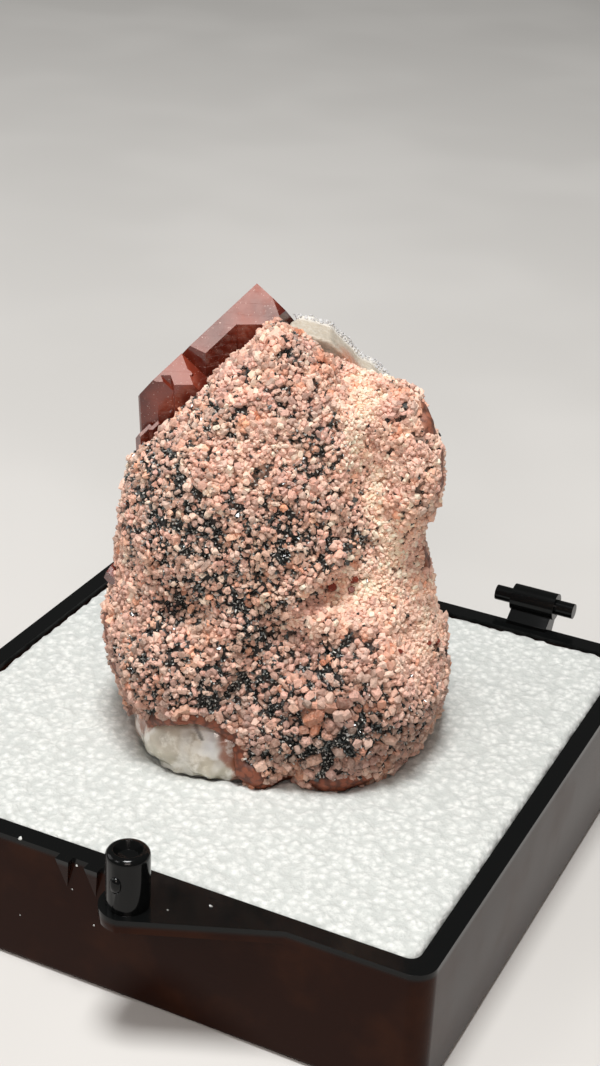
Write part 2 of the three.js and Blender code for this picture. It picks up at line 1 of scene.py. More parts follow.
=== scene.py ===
"""Looks of a red hematoid quartz specimen on white foam in the black base of a display box.

Meshes are in metres, as in the frame. Places on the specimen are in millimetres along its own axes:
x to the right, y to the back and z up from the top of the foam.
"""

import math

import bmesh
import bpy
import numpy as np
from mathutils import Matrix, Vector, noise
from mathutils.bvhtree import BVHTree


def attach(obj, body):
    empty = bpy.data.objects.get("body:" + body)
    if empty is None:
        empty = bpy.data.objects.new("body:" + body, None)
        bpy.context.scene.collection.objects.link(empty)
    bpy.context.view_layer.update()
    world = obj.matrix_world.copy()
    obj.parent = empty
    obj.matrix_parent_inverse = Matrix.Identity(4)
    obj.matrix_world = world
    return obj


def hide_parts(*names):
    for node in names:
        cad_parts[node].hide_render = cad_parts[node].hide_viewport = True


MM = 0.001
FOAM_TOP = 12.9
SPECIMEN_TURN = math.radians(25.1)
SEED = 20

# How fine the meshes of the specimen's parts and of the foam are, in millimetres
CRUST_VOXEL = 0.25
SLAB_VOXEL = 0.2
MILKY_VOXEL = 0.17
FOAM_VOXEL = 0.42

# The camera of the photograph, fitted to the four corners of the foam
CAMERA_PLACE = Vector((66.748, -137.110, 109.001)) * MM
CAMERA_RIGHT = Vector((0.89605, 0.44217, 0.03960))
CAMERA_DOWN = Vector((0.23113, -0.38850, -0.89199))
CAMERA_AHEAD = Vector((-0.37903, 0.80843, -0.45031))
PHOTO_HEIGHT = 1066
FOCAL_PIXELS = 1887.6
SENSOR_HEIGHT = 36

# Zones of the crust seen from the front: centre x and z, half width, half height and strength
DARK_ZONES = [
    (-10.5, 24.0, 4.0, 6.5, 0.95),
    (-6.3, 32.4, 2.2, 1.9, 0.8),
    (-8.2, 29.0, 2.4, 1.8, 0.6),
    (-0.2, 34.6, 1.8, 1.6, 0.55),
    (1.0, 37.6, 1.6, 1.2, 0.5),
    (-8.0, 22.5, 5.5, 4.2, 1.0),
    (0.6, 23.0, 5.6, 3.6, 1.0),
    (3.4, 30.2, 3.4, 2.8, 0.6),
    (7.0, 22.9, 1.4, 2.4, 1.0),
    (-4.5, 18.4, 6.6, 3.4, 1.0),
    (-0.6, 13.4, 2.8, 4.4, 1.0),
    (-8.1, 15.0, 3.4, 2.6, 0.9),
    (-9.5, 10.0, 4.5, 3.0, 0.7),
    (-4.5, 8.6, 4.6, 2.4, 1.0),
    (5.2, 11.4, 2.6, 2.6, 0.9),
    (9.4, 8.0, 2.4, 3.2, 0.9),
    (5.0, 4.5, 6.0, 3.4, 0.95),
    (0.2, 8.0, 2.6, 3.4, 0.8),
    (12.6, 4.5, 2.6, 3.4, 0.7),
]
PALE_ZONES = [
    (6.9, 31.5, 1.9, 4.6, 0.95),
    (8.6, 25.5, 1.8, 4.6, 1.0),
    (10.2, 20.8, 2.2, 3.6, 1.0),
    (8.6, 17.6, 4.4, 2.2, 1.0),
    (13.4, 12.5, 2.6, 4.6, 1.0),
    (12.5, 30.0, 3.0, 5.5, 0.35),
    (-1.2, 30.0, 4.6, 2.2, 0.4),
    (2.6, 15.2, 2.4, 1.3, 0.7),
]
RED_ZONES = [
    (2.6, 36.8, 2.4, 2.4, 1.0),
    (-1.4, 34.9, 1.6, 1.4, 0.7),
    (-3.5, 30.5, 3.0, 1.6, 0.4),
    (7.0, 7.5, 5.5, 5.5, 1.0),
    (3.0, 18.5, 3.0, 3.5, 0.35),
    (12.5, 33.5, 2.2, 2.4, 0.5),
    (-12.5, 8.0, 2.5, 4.0, 0.4),
]
COARSE_ZONES = [
    (6.0, 5.5, 7.0, 6.5, 1.0),
    (-9.0, 6.0, 5.0, 4.0, 0.45),
]
ROUGH_ZONES = [
    (12.3, 29.0, 2.6, 6.5, 1.0),
    (13.0, 21.0, 2.0, 3.0, 0.6),
]
# Ridges and hollows on the crust's front: height, width and a line of x and z
FORM_LINES = [
    (0.5, 2.6, [(10.6, 34.0), (12.0, 30.6), (12.7, 27.2), (12.0, 24.5)]),
    (-0.8, 2.8, [(5.8, 34.5), (7.2, 30.6), (8.2, 25.5), (8.5, 22.5)]),
    (0.7, 1.8, [(1.8, 17.6), (3.8, 20.2), (6.4, 21.8), (7.4, 23.8)]),
    (-0.55, 1.8, [(3.4, 16.9), (6.2, 18.9), (9.0, 21.0)]),
    (0.75, 1.8, [(4.6, 15.6), (8.3, 14.6), (10.0, 12.6), (10.8, 10.4), (12.8, 7.1)]),
    (-0.5, 2.6, [(12.6, 13.0), (13.8, 9.6)]),
    (-1.1, 2.2, [(0.4, 14.2), (-1.9, 11.1), (-2.6, 8.6)]),
    (-0.8, 1.8, [(-8.4, 15.0), (-6.6, 14.2)]),
]
# Bare red-brown edges of the crust: centre x, y and z, half sizes along them
BARE_EDGES = [
    (13.3, -1.7, 32.0, 1.4, 1.7, 2.3),
    (15.0, -2.4, 27.0, 1.4, 1.9, 2.8),
    (14.3, -1.6, 18.8, 1.3, 1.6, 1.8),
    (16.7, -1.0, 8.6, 1.2, 1.7, 2.6),
    (-15.6, -4.0, 10.8, 1.3, 1.9, 2.2),
    (-14.4, -6.4, 7.4, 1.3, 1.8, 1.6),
    (-1.4, -12.8, 1.2, 1.6, 1.4, 1.3),
    (0.8, -12.0, -0.3, 2.2, 2.0, 0.9),
    (7.4, -12.2, 0.6, 3.6, 2.0, 1.0),
]
# Small dark red crystals that stand on the crust: x and z of each, and its size
SMALL_CRYSTALS = [
    (5.2, 17.5, 1.0),
    (6.9, 17.4, 0.8),
    (7.1, 18.3, 0.75),
    (11.3, 12.1, 0.7),
    (14.1, 11.2, 0.65),
    (15.0, 10.6, 0.7),
]

# Borders of the zones and of the bare edges wander by this much, in millimetres
ZONE_WANDER = 1.1
EDGE_WANDER = 0.4

# The crust's knobs: how far apart they stand, how much further on its coarse parts, how steeply
# they fall to the gaps, how much they are warped, roughened and swelled, and the number of levels
# that the relief is measured against
KNOB_SPACING = 0.95
COARSE_SPACING = 0.5
KNOB_FALL = 1.5
KNOB_WARP = 0.3
KNOB_ROUGHNESS = 0.3
KNOB_SWELL = 0.25
RELIEF_LEVELS = 25

# Heights in the crust's ground, in millimetres: knobs, lumps, rough zones, bare edges, and how deep
# the ground lies inside the CAD crust, with the changes that coarse and pale crust make to them
KNOB_RISE = 0.5
COARSE_KNOB_RISE = 0.2
PALE_KNOB_LOSS = 0.8
LUMP_RISE = 0.2
COARSE_LUMP_RISE = 0.1
PALE_LUMP_LOSS = 0.6
ROUGH_RISE = 0.5
BARE_RISE = 0.02
GROUND_INSET = 0.62
PALE_INSET_LOSS = 0.3
FORM_SPREAD = 0.6

# Shares of the crust that are gaps down to its dark ground
GAPS = 0.28
DARK_GAPS = 0.2
COARSE_GAPS = 0.1
GAP_EDGE = 0.12

# Grains: places tried, how near a neighbour in front hides them, how far under the foam's top they
# go on, and the x of the borders between the pieces
GRAIN_PLACES = 190000
HIDDEN_REACH = 1.4
FOAM_COVER = 0.3
LEFT_X = -3
RIGHT_X = 5
# Brightness of the grains: its spread, the top of it, and the most that a colour may reach
GRAIN_SPREAD = 0.68
GRAIN_TOP = 1.14
BRIGHTEST_GRAIN = 0.94
# Sizes of the grains, flakes and glints, the gaps between them, how far they are lifted off the
# ground, all in millimetres, and how uneven the grains are
COARSE_SIZE = 0.46
COARSE_LIMITS = (0.3, 0.95)
COARSE_UNEVENNESS = 0.28
COARSE_LIFT = (-0.06, 0.2)
FINE_SIZE = 0.29
FINE_LIMITS = (0.22, 0.4)
FINE_UNEVENNESS = 0.25
FINE_LIFT = (-0.04, 0.12)
FLAKE_SIZES = (0.22, 0.5)
FLAKE_FLATNESS = 0.45
FLAKE_GAP = 0.25
FLAKE_LIFT = (0.0, 0.14)
GLINT_SIZES = (0.08, 0.16)
GLINT_STRETCH = (1.0, 2.6)
GLINT_GAP = 0.3
GLINT_LIFT = (0.08, 0.22)
# Grains are darker low down: heights and the brightness at each
SHADE_HEIGHTS = (5.0, 17.0)
SHADE_FACTORS = (0.84, 1.09)
COARSE_TINTS = ["e3a98b", "f0c7ac", "f9e8da", "d9814f", "a8482a", "dcaea6"]
FINE_TINTS = ["d89f80", "ecc4a9", "f6e2d0", "c8744c", "8f4226", "cfa096"]

# The pale slab: its orange spot, where its bright rim begins, and the sugar on the rim
SLAB_SPOT = (6.1, 1.6, 35.3)
SLAB_RIM_Y = 4.0
SUGAR_PLACES = 20000
SUGAR_GAP = 0.24
SUGAR_TINT = 0.58

# The foam: where its crumbly top begins, how far out the pit's walls can be, and how far they are
# drawn in
FOAM_CRUMB_Z = 11.6
PIT_REACH = 21.0
PIT_CLOSING = 0.4
# Crumbs of foam that lie on the box: place in the frame, in millimetres, and size
CRUMBS = [
    (9.4, -28.6, 13.0, 0.3),
    (6.6, -30.7, 13.0, 0.14),
    (-2.9, -29.3, 13.0, 0.2),
    (-9.1, -28.4, 13.0, 0.34),
    (-1.8, -28.5, 6.7, 0.24),
    (-3.9, -28.5, 9.7, 0.16),
    (-9.3, -28.5, 4.9, 0.12),
    (12.5, -28.5, 11.4, 0.14),
]

# The window of milky quartz, whose edge is at a reach of 1, and the crust's bare rim round it
WINDOW_MIDDLE = (-7.3, 0.6)
WINDOW_HALF = (4.4, 5.6)
WINDOW_LEAN = math.radians(30)
WINDOW_RIM = 1.24
WINDOW_RIM_FADE = 0.12
# The distance that is given to places at the back, which no line or window reaches
FAR_AWAY = 99.0
# Lines of x and z on the milky quartz: the brown wedge, the white oval and the crack
WINDOW_WEDGE = [(-4.6, 6.0), (-3.6, 4.4), (-3.4, 2.8), (-2.2, 1.8)]
WINDOW_OVAL = [(-5.5, 5.2), (-4.6, 4.1), (-4.6, 3.3)]
WINDOW_CRACK = [(-6.9, 6.2), (-6.4, 5.0), (-5.7, 3.9)]

# The lights aim at this point. Each has its way there, in metres, its width and its power.
AIM = Vector((0, 0, 0.035))
LIGHTS = {
    "overhead": (Vector((0.02, -0.09, 0.6)), 0.18, 4.2, (1, 1, 1)),
    "glint_window": (0.36 * Vector((0.361, -0.727, 0.584)), 0.14, 0.34, (1.0, 0.86, 0.8)),
    "side": (Vector((-0.5, -0.1, 0.25)), 0.3, 0.55, (1, 1, 1)),
    "edge_line": (0.5 * Vector((-0.404, -0.616, 0.674)), 0.12, 0.22, (1, 1, 1)),
}
ROOM_LIGHT = (1.0, 0.97, 0.94, 1.0)
ROOM_STRENGTH = 0.11


def rgb(code):
    """A colour of six hex digits, as the linear colour that shaders take."""
    parts = [int(code[i : i + 2], 16) / 255 for i in (0, 2, 4)]
    return tuple(p / 12.92 if p <= 0.04045 else ((p + 0.055) / 1.055) ** 2.4 for p in parts) + (1.0,)


# Shader maths


class Value:
    """A shader socket that takes part in Python arithmetic."""

    def __init__(self, paint, socket):
        self.paint = paint
        self.socket = socket

    def maths(self, operation, *values):
        return self.paint.node("ShaderNodeMath", {"operation": operation}, dict(enumerate(values)))

    def __add__(self, other):
        return self.maths("ADD", self, other)

    def __radd__(self, other):
        return self.maths("ADD", other, self)

    def __sub__(self, other):
        return self.maths("SUBTRACT", self, other)

    def __rsub__(self, other):
        return self.maths("SUBTRACT", other, self)

    def __mul__(self, other):
        return self.maths("MULTIPLY", self, other)

    def __rmul__(self, other):
        return self.maths("MULTIPLY", other, self)

    def between(self, low, high):
        """0 at the low value, 1 at the high one and smooth in between."""
        return self.paint.node(
            "ShaderNodeMapRange",
            {"interpolation_type": "SMOOTHSTEP"},
            {"Value": self, "From Min": low, "From Max": high},
        )


class Paint:
    """One material, made node by node."""

    def __init__(self, name):
        self.material = bpy.data.materials.new(name)
        self.material.use_nodes = True
        self.tree = self.material.node_tree
        self.tree.nodes.clear()

    def node(self, kind, settings=None, sockets=None, output=0):
        """Makes a node, gives it its settings, and fills its sockets with values or links."""
        made = self.tree.nodes.new(kind)
        for name, value in (settings or {}).items():
            setattr(made, name, value)
        for name, value in (sockets or {}).items():
            if isinstance(value, Value):
                self.tree.links.new(value.socket, made.inputs[name])
            else:
                made.inputs[name].default_value = value
        return Value(self, made.outputs[output]) if len(made.outputs) else None

    def place(self):
        """Where a point of the piece is, in millimetres."""
        here = self.node("ShaderNodeTexCoord", output="Object")
        return self.node("ShaderNodeVectorMath", {"operation": "SCALE"}, {0: here, "Scale": 1 / MM})

    def clouds(self, place, size, detail=2.0, roughness=0.5):
        """Soft noise, with patches about as many millimetres across as its size."""
        sockets = {"Vector": place, "Scale": 1 / size, "Detail": detail, "Roughness": roughness}
        return self.node("ShaderNodeTexNoise", None, sockets)

    def cells(self, place, size):
        """Distance from the nearest of many scattered points."""
        return self.node("ShaderNodeTexVoronoi", None, {"Vector": place, "Scale": 1 / size})

    def mix(self, low, high, share):
        return self.node("ShaderNodeMix", {"data_type": "RGBA"}, {0: share, 6: low, 7: high}, output=2)

    def tint(self, output="Color"):
        """The colour that a piece's mesh carries, or its Alpha."""
        return self.node("ShaderNodeAttribute", {"attribute_name": "tint"}, output=output)

    def bump(self, height, depth):
        """A bump whose height of 1 stands as many millimetres proud as its depth."""
        sockets = {"Height": height, "Distance": depth * MM, "Strength": 1.0}
        return self.node("ShaderNodeBump", None, sockets)

    def surface(self, sockets):
        return self.node("ShaderNodeBsdfPrincipled", None, sockets)

    def done(self, shader):
        self.node("ShaderNodeOutputMaterial", None, {"Surface": shader})
        return self.material


def grain_paint():
    paint = Paint("crust grains")
    place = paint.place()
    speckle = paint.clouds(place, size=0.22, detail=3.0).between(0.3, 0.7)
    dusty = paint.mix(paint.tint(), rgb("f0dccd"), speckle * 0.2)
    pepper = paint.tint("Alpha")
    specks = paint.clouds(place, size=0.3, detail=3.0, roughness=0.6).between(0.52, 0.6) * pepper
    pits = paint.clouds(place, size=0.14, detail=3.0, roughness=0.6)
    return paint.done(
        paint.surface(
            {
                "Base Color": paint.mix(dusty, rgb("1b1614"), specks),
                "Roughness": speckle * 0.3 + 0.38,
                "IOR": 1.54,
                "Normal": paint.bump(pits, depth=0.09),
            }
        )
    )


def ground_paint():
    paint = Paint("crust ground")
    place = paint.place()
    fine = paint.clouds(place, size=0.3, detail=4.0, roughness=0.65)
    cracks = paint.cells(place, size=0.6).between(0.35, 0.75)
    dark = paint.mix(paint.tint(), rgb("120d0c"), cracks * 0.6)
    return paint.done(
        paint.surface(
            {
                "Base Color": paint.mix(dark, rgb("b3715a"), fine.between(0.62, 0.8) * 0.35),
                "Roughness": fine * 0.5 + 0.3,
                "IOR": 1.54,
                "Normal": paint.bump(fine, depth=0.12),
            }
        )
    )


def flake_paint():
    paint = Paint("dark glinting flakes")
    shade = paint.clouds(paint.place(), size=0.5)
    return paint.done(
        paint.surface(
            {
                "Base Color": paint.mix(rgb("111416"), rgb("3f4846"), shade.between(0.4, 0.65)),
                "Metallic": 0.35,
                "Roughness": 0.24,
                "IOR": 2.2,
            }
        )
    )


def crystal_paint():
    paint = Paint("dark red quartz")
    place = paint.place()
    patches = paint.clouds(place, size=5.0, detail=3.0)
    veils = paint.clouds(place, size=1.1, detail=4.0, roughness=0.6)
    red = paint.mix(rgb("571d14"), rgb("8a3c2a"), patches.between(0.35, 0.66))
    glow = paint.mix(red, rgb("a0523c"), veils.between(0.55, 0.8) * 0.5)
    dust = paint.clouds(place, size=0.16).between(0.66, 0.74)
    steps = paint.node(
        "ShaderNodeTexWave",
        {"wave_type": "BANDS", "bands_direction": "Z", "wave_profile": "SAW"},
        {"Vector": place, "Scale": 0.35, "Distortion": 3.0, "Detail": 2.0, "Detail Scale": 0.6},
    )
    ripple = steps * 0.6 + veils * 0.4
    return paint.done(
        paint.surface(
            {
                "Base Color": paint.mix(glow, rgb("e0c2b6"), dust * 0.55),
                "Roughness": veils.between(0.4, 0.75) * 0.14 + 0.1,
                "IOR": 1.55,
                "Coat Weight": 0.35,
                "Coat Roughness": 0.06,
                "Normal": paint.bump(ripple, depth=0.012),
            }
        )
    )


def sugar_paint():
    paint = Paint("sugary pale quartz")
    place = paint.place()
    fine = paint.clouds(place, size=0.25, detail=4.0, roughness=0.7)
    return paint.done(
        paint.surface(
            {
                "Base Color": paint.mix(paint.tint(), rgb("e9e7e0"), fine.between(0.4, 0.7) * 0.35),
                "Roughness": fine * 0.3 + 0.3,
                "IOR": 1.54,
                "Subsurface Weight": 0.25,
                "Subsurface Radius": (0.6, 0.55, 0.5),
                "Subsurface Scale": 1.2 * MM,
                "Normal": paint.bump(fine, depth=0.1),
            }
        )
    )


def milky_paint():
    paint = Paint("milky quartz")
    place = paint.place()
    veils = paint.clouds(place, size=2.0, detail=5.0, roughness=0.62)
    fine = paint.clouds(place, size=0.45, detail=3.0)
    tint = paint.tint()
    clear = paint.surface(
        {
            "Base Color": tint,
            "Roughness": 0.08,
            "IOR": 1.54,
            "Transmission Weight": 0.9,
            "Normal": paint.bump(fine, depth=0.03),
        }
    )
    milk = paint.surface(
        {
            "Base Color": paint.mix(tint, rgb("fbf8f0"), veils.between(0.48, 0.62) * 0.6),
            "Roughness": 0.14,
            "IOR": 1.54,
            "Coat Weight": 0.4,
            "Coat Roughness": 0.05,
            "Subsurface Weight": 0.6,
            "Subsurface Radius": (1.0, 0.95, 0.85),
            "Subsurface Scale": 2.5 * MM,
            "Normal": paint.bump(fine, depth=0.02),
        }
    )
    share = veils.between(0.3, 0.6) * 0.17 + 0.83
    return paint.done(paint.node("ShaderNodeMixShader", None, {0: share, 1: clear, 2: milk}))


def foam_paint():
    paint = Paint("white foam")
    place = paint.place()
    crumb = paint.cells(place, size=0.75)
    fine = paint.clouds(place, size=0.35, detail=4.0, roughness=0.7)
    # The foam's colour is greyer where this height is low, in the hollows between the crumbs: painted
    # shade
    height = fine * 0.6 + (1 - crumb) * 0.5
    return paint.done(
        paint.surface(
            {
                "Base Color": paint.mix(rgb("c4c8c4"), rgb("eaece8"), height.between(0.4, 0.9)),
                "Roughness": 0.6,
                "IOR": 1.4,
                "Subsurface Weight": 0.3,
                "Subsurface Radius": (1.0, 1.0, 1.0),
                "Subsurface Scale": 1.0 * MM,
                "Sheen Weight": 0.25,
                "Normal": paint.bump(height, depth=0.22),
            }
        )
    )


def plastic_paint():
    """Brown-black on the walls, where the brown is a painted reflection, and blacker with a coat of
    gloss from the rim up.
    """
    paint = Paint("glossy black plastic")
    place = paint.place()
    smudges_and_reflection = paint.clouds(place, size=6.0, detail=3.0)
    along = paint.node("ShaderNodeMapping", None, {"Vector": place, "Scale": (0.12, 2.2, 2.2)})
    scratches = paint.clouds(along, size=0.5).between(0.66, 0.74)
    wave = paint.clouds(place, size=9.0, detail=1.0)
    height = paint.node("ShaderNodeSeparateXYZ", None, {0: place}, output=2)
    # The walls' brown is a painted reflection, patchy with the smudges; from the rim up the plastic
    # keeps its own near-black
    wall = paint.mix(rgb("26120b"), rgb("32190d"), smudges_and_reflection.between(0.45, 0.7))
    top = height.between(12.2, 12.7)
    colour = paint.mix(wall, rgb("0c0d0d"), top)
    return paint.done(
        paint.surface(
            {
                "Base Color": colour,
                "Roughness": smudges_and_reflection.between(0.4, 0.75) * 0.12 + scratches * 0.1 + 0.1,
                "IOR": 1.5,
                "Specular IOR Level": 0.07,
                "Coat Weight": top * 0.3,
                "Coat Roughness": 0.12,
                "Normal": paint.bump(wave + scratches * 0.05, depth=0.05),
            }
        )
    )


def floor_paint():
    paint = Paint("pale floor")
    share = paint.clouds(paint.place(), size=60.0).between(0.4, 0.65)
    return paint.done(
        paint.surface({"Base Color": paint.mix(rgb("c9c7c3"), rgb("cfcdc9"), share), "Roughness": 0.7})
    )


# Places


def to_specimen(points):
    """Turns places in metres into millimetres along the specimen's own axes."""
    x, y, z = (np.asarray(points) / MM).T
    cos, sin = math.cos(SPECIMEN_TURN), math.sin(SPECIMEN_TURN)
    return np.stack([x * cos + y * sin, y * cos - x * sin, z - FOAM_TOP], axis=1)


def from_specimen(points):
    """Turns places in millimetres along the specimen's own axes into metres."""
    x, y, z = np.asarray(points, float).reshape(-1, 3).T
    cos, sin = math.cos(SPECIMEN_TURN), math.sin(SPECIMEN_TURN)
    return np.stack([x * cos - y * sin, x * sin + y * cos, z + FOAM_TOP], axis=1) * MM


def zone_share(places, zones):
    """How strongly each place lies in the zones, from 0 to 1."""
    total = np.zeros(len(places))
    for x, z, half_width, half_height, strength in zones:
        away = ((places[:, 0] - x) / half_width) ** 2 + ((places[:, 2] - z) / half_height) ** 2
        total = np.maximum(total, strength * np.exp(-away))
    return total


def ball_share(places, balls):
    """How strongly each place lies in the ellipsoids, from 0 to 1, with plain borders."""
    total = np.zeros(len(places))
    for x, y, z, *half in balls:
        away = np.sqrt((((places - (x, y, z)) / half) ** 2).sum(axis=1))
        total = np.maximum(total, np.clip((1.15 - away) / 0.3, 0, 1))
    return total


def line_distance(places, points):
    """How far each place of the front is from a line through points of x and z."""
    nearest = np.full(len(places), FAR_AWAY)
    flat_places = places[:, [0, 2]]
    for start, end in zip(np.array(points[:-1], float), np.array(points[1:], float)):
        along = np.clip((flat_places - start) @ (end - start) / ((end - start) ** 2).sum(), 0, 1)
        away = np.linalg.norm(flat_places - start - along[:, None] * (end - start), axis=1)
        nearest = np.minimum(nearest, away)
    return np.where(places[:, 1] < 0, nearest, FAR_AWAY)


def stroke_share(places, points, width):
    """How strongly each place lies on a line through points of x and z, from 0 to 1."""
    return np.clip(1.5 - line_distance(places, points) / (width / 2), 0, 1)


def window_reach(places):
    """How far each place is from the window's middle, where the window's edge is at 1."""
    x = places[:, 0] - WINDOW_MIDDLE[0]
    z = places[:, 2] - WINDOW_MIDDLE[1]
    cos, sin = math.cos(WINDOW_LEAN), math.sin(WINDOW_LEAN)
    across = (x * cos - z * sin) / WINDOW_HALF[0]
    upward = (x * sin + z * cos) / WINDOW_HALF[1]
    reach = np.hypot(across, upward)
    return np.where(places[:, 1] < -2, reach, FAR_AWAY)


def noise_at(places, size, shift=0.0):
    """Smooth noise from about -1 to 1 at each place, over a size in millimetres.

    Another shift gives another pattern of the same kind.
    """
    offset = Vector((shift, 1.7 * shift, 2.3 * shift))
    return np.array([noise.noise(Vector(p) / size + offset) for p in places])


# Meshes


def fine_copy(node, voxel):
    """The mesh of a CAD node with small even faces, as many millimetres wide as the voxel."""
    return with_modifier(merged_copy(node), "REMESH", mode="VOXEL", voxel_size=voxel * MM)


def merged_copy(node):
    """The mesh of a CAD node with its loose triangles joined."""
    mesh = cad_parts[node].data.copy()
    build = bmesh.new()
    build.from_mesh(mesh)
    bmesh.ops.remove_doubles(build, verts=build.verts, dist=0.002 * MM)
    build.to_mesh(mesh)
    build.free()
    if "custom_normal" in mesh.attributes:
        mesh.attributes.remove(mesh.attributes["custom_normal"])
    return mesh


def with_modifier(mesh, kind, **settings):
    """The mesh with a modifier applied to it."""
    holder = bpy.data.objects.new("holder", mesh)
    bpy.context.scene.collection.objects.link(holder)
    modifier = holder.modifiers.new(kind, kind)
    for name, value in settings.items():
        setattr(modifier, name, value)
    graph = bpy.context.evaluated_depsgraph_get()
    made = bpy.data.meshes.new_from_object(holder.evaluated_get(graph))
    bpy.data.objects.remove(holder)
    return made


def eased_copy(node, flatness, width, segments, sharpness):
    """The mesh of a CAD node with whole flat faces and bevelled edges.

    Faces that meet under the flatness are joined, and edges over the sharpness are bevelled, both
    in degrees, to a width in millimetres.
    """
    mesh = merged_copy(node)
    build = bmesh.new()
    build.from_mesh(mesh)
    bmesh.ops.dissolve_limit(
        build, angle_limit=math.radians(flatness), verts=build.verts[:], edges=build.edges[:]
    )
    build.to_mesh(mesh)
    build.free()
    limit = math.radians(sharpness)
    return with_modifier(
        mesh, "BEVEL", width=width * MM, segments=segments, limit_method="ANGLE", angle_limit=limit
    )


def read_points(mesh, field="co"):
    values = np.zeros(len(mesh.vertices) * 3)
    mesh.vertices.foreach_get(field, values)
    return values.reshape(-1, 3)


def write_points(mesh, points):
    mesh.vertices.foreach_set("co", np.asarray(points, np.float32).ravel())
    mesh.update()


def write_tint(mesh, colours):
    """Gives each point of a mesh the colour that its material reads."""
    layer = mesh.color_attributes.new("tint", "FLOAT_COLOR", "POINT")
    full = np.ones((len(mesh.vertices), 4))
    full[:, : colours.shape[1]] = colours
    layer.data.foreach_set("color", full.ravel().astype(np.float32))


def piece(name, mesh, material, stands_for=None):
    """Makes a visible piece that rides on the part, and may stand for one of its CAD nodes."""
    mesh.name = name
    mesh.materials.clear()
    mesh.materials.append(material)
    made = bpy.data.objects.new(name, mesh)
    bpy.context.scene.collection.objects.link(made)
    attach(made, "root")
    if stands_for:
        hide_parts(stands_for)
    return made


def flat(mesh):
    mesh.polygons.foreach_set("use_smooth", np.zeros(len(mesh.polygons), bool))


def smooth(mesh):
    mesh.polygons.foreach_set("use_smooth", np.ones(len(mesh.polygons), bool))


# Grains: small angular bodies in great numbers, laid on a surface


def hull_shape(corners):
    """The convex shape round a few corners, as an array of corners and one of triangles."""
    build = bmesh.new()
    for corner in corners:
        build.verts.new(corner)
    made = bmesh.ops.convex_hull(build, input=build.verts[:])
    inner = {part for part in made["geom_interior"] if isinstance(part, bmesh.types.BMVert)}
    bmesh.ops.delete(build, geom=list(inner), context="VERTS")
    bmesh.ops.triangulate(build, faces=build.faces[:])
    bmesh.ops.recalc_face_normals(build, faces=build.faces[:])
    build.verts.index_update()
    corners = np.array([vert.co for vert in build.verts])
    faces = np.array([[vert.index for vert in face.verts] for face in build.faces])
    build.free()
    return corners, faces


def chunk_shapes(rng, count):
    """Blocky chunks with blunt corners, about 1 across."""
    build = bmesh.new()
    bmesh.ops.create_icosphere(build, subdivisions=1, radius=1.0)
    ball = np.array([vert.co for vert in build.verts])
    build.free()
    shapes = []
    for turn in random_turns(rng, count):
        turned = ball @ turn.T
        blocky = np.sign(turned) * np.abs(turned) ** 0.55
        shapes.append(hull_shape(blocky * rng.uniform(0.5, 0.72, (len(ball), 1))))
    return shapes


def chip_shapes(rng, count):
    """Sharp chips of a dozen faces, about 1 across."""
    cube = np.array([(x, y, z) for x in (-0.45, 0.45) for y in (-0.45, 0.45) for z in (-0.45, 0.45)])
    return [hull_shape(cube + rng.uniform(-0.25, 0.25, cube.shape)) for _ in range(count)]


def random_turns(rng, count):
    """Evenly random rotations, as matrices."""
    q = rng.normal(size=(count, 4))
    q /= np.linalg.norm(q, axis=1, keepdims=True)
    w, x, y, z = q.T
    rows = [
        [1 - 2 * (y * y + z * z), 2 * (x * y - z * w), 2 * (x * z + y * w)],
        [2 * (x * y + z * w), 1 - 2 * (x * x + z * z), 2 * (y * z - x * w)],
        [2 * (x * z - y * w), 2 * (y * z + x * w), 1 - 2 * (x * x + y * y)],
    ]
    return np.transpose(np.array(rows), (2, 0, 1))


def random_points(rng, mesh, count):
    """Points spread evenly over a mesh, in metres, with the outward direction at each."""
    mesh.calc_loop_triangles()
    corners = np.zeros(len(mesh.loop_triangles) * 3, int)
    mesh.loop_triangles.foreach_get("vertices", corners)
    corners = corners.reshape(-1, 3)
    points = read_points(mesh)
    a, b, c = (points[corners[:, k]] for k in range(3))
    cross = np.cross(b - a, c - a)
    area = np.linalg.norm(cross, axis=1)
    chosen = rng.choice(len(corners), size=count, p=area / area.sum())
    u, v = rng.random((2, count))
    over = u + v > 1
    u[over], v[over] = 1 - u[over], 1 - v[over]
    spots = a[chosen] + u[:, None] * (b - a)[chosen] + v[:, None] * (c - a)[chosen]
    outward = cross[chosen] / np.maximum(area[chosen, None], 1e-18)
    return spots, outward


def spaced(spots, gaps):
    """Picks spots that keep their own gap from every spot picked before, all in millimetres."""
    cell = float(gaps.max())
    picked = {}
    kept = []
    keys = np.floor(spots / cell).astype(int)
    ring = [(i, j, k) for i in (-1, 0, 1) for j in (-1, 0, 1) for k in (-1, 0, 1)]
    for n, (spot, gap, key) in enumerate(zip(spots.tolist(), gaps.tolist(), keys.tolist())):
        near = False
        for i, j, k in ring:
            for other in picked.get((key[0] + i, key[1] + j, key[2] + k), ()):
                apart = (spot[0] - other[0]) ** 2 + (spot[1] - other[1]) ** 2 + (spot[2] - other[2]) ** 2
                if apart < gap * gap:
                    near = True
                    break
            if near:
                break
        if not near:
            picked.setdefault(tuple(key), []).append(spot)
            kept.append(n)
    return np.array(kept, int)


